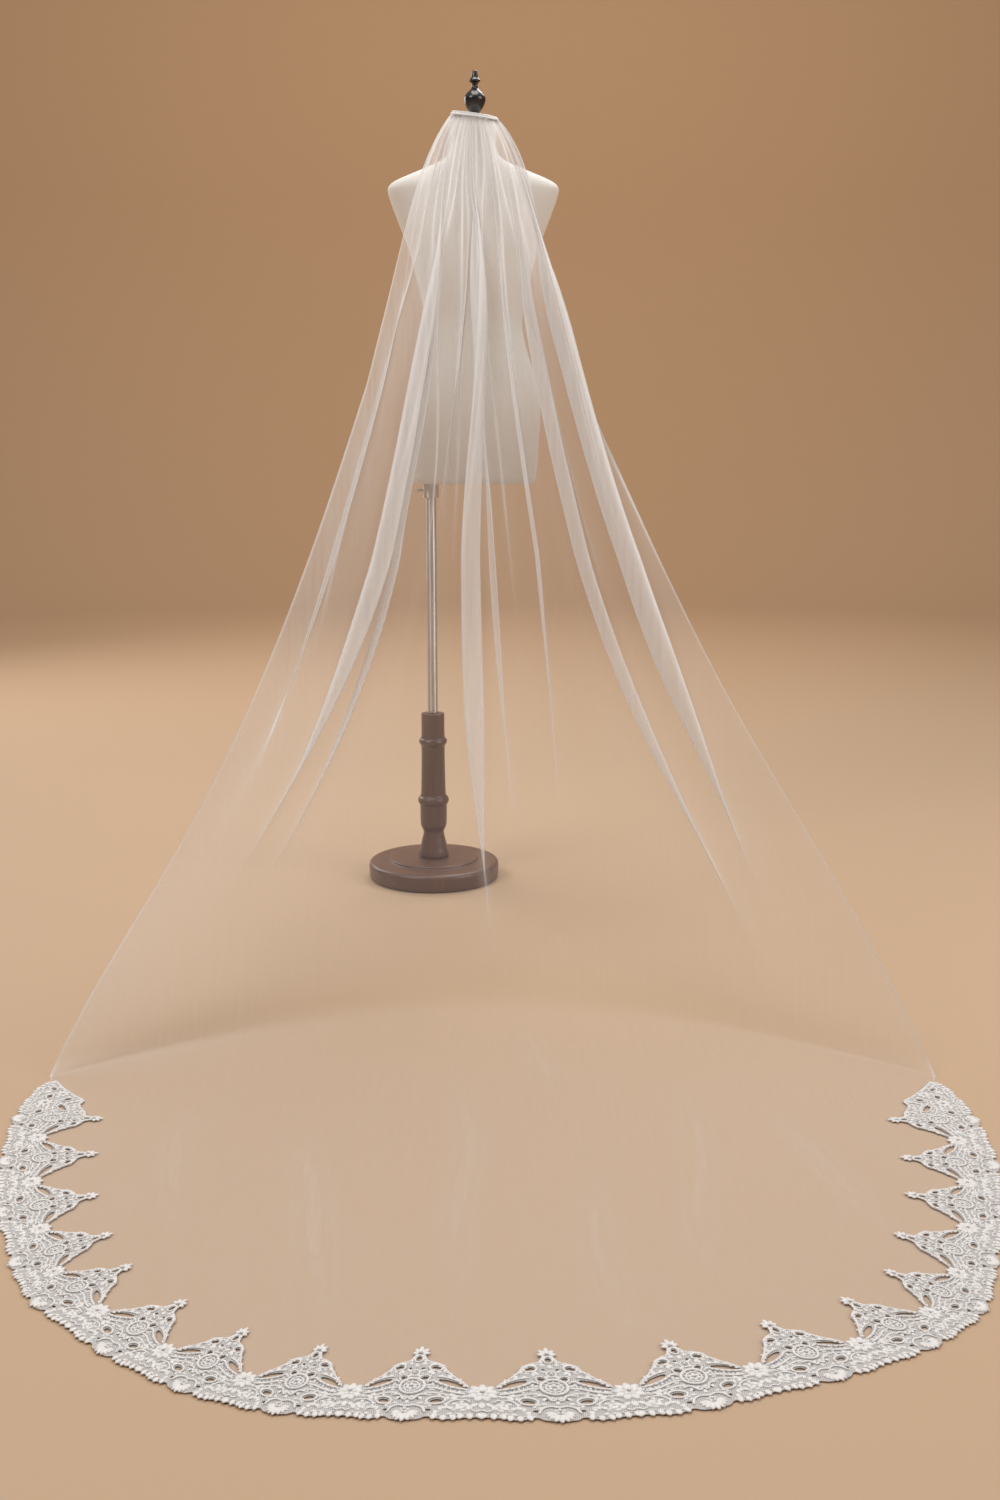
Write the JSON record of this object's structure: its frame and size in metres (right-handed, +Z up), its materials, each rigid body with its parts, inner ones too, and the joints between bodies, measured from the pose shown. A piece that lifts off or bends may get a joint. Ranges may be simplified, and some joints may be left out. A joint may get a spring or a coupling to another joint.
{
  "type": "bridal veil on dress form stand",
  "caption": "Long tulle wedding veil with a corded lace edging, gathered on a hair comb and hung from a limbless dress form on a turned wooden stand, its train laid out on the floor.",
  "frame": {"origin": "centre of the stand's round foot, on the floor", "axes": "+Z up, -Y along the train away from the stand, +X to the right of someone who looks at the train with the stand behind it"},
  "size_m": [1.3887, 2.1414, 1.68],
  "materials": {
    "tulle": "sheer soft nylon net, ivory white",
    "lace": "corded and beaded embroidery on net, ivory white",
    "binding_ribbon": "narrow satin band",
    "comb_plastic": "clear to white moulded comb",
    "form_jersey": "matt white jersey over a rigid shell",
    "black_lacquer": "high-gloss black",
    "steel": "satin steel tube",
    "stained_wood": "dark brown stain, satin varnish"
  },
  "bodies": {
    "veil_and_stand": {"tulle_fall": "tulle", "tulle_train": "tulle", "lace_left": "lace", "lace_front": "lace", "lace_right": "lace", "top_binding": "binding_ribbon", "comb": "comb_plastic", "form_body": "form_jersey", "finial": "black_lacquer", "pole": "steel", "collar": "steel", "column": "stained_wood", "foot": "stained_wood"},
    "wing_screw": {"clamp_screw": "steel"}
  },
  "joints": [
    {"name": "clamp_turn", "type": "hinge", "parent": "veil_and_stand", "child": "wing_screw", "pos_m": [-0.023, 0, 0.844], "axis": [-1, 0, 0], "range_deg": [0, 270]}
  ]
}
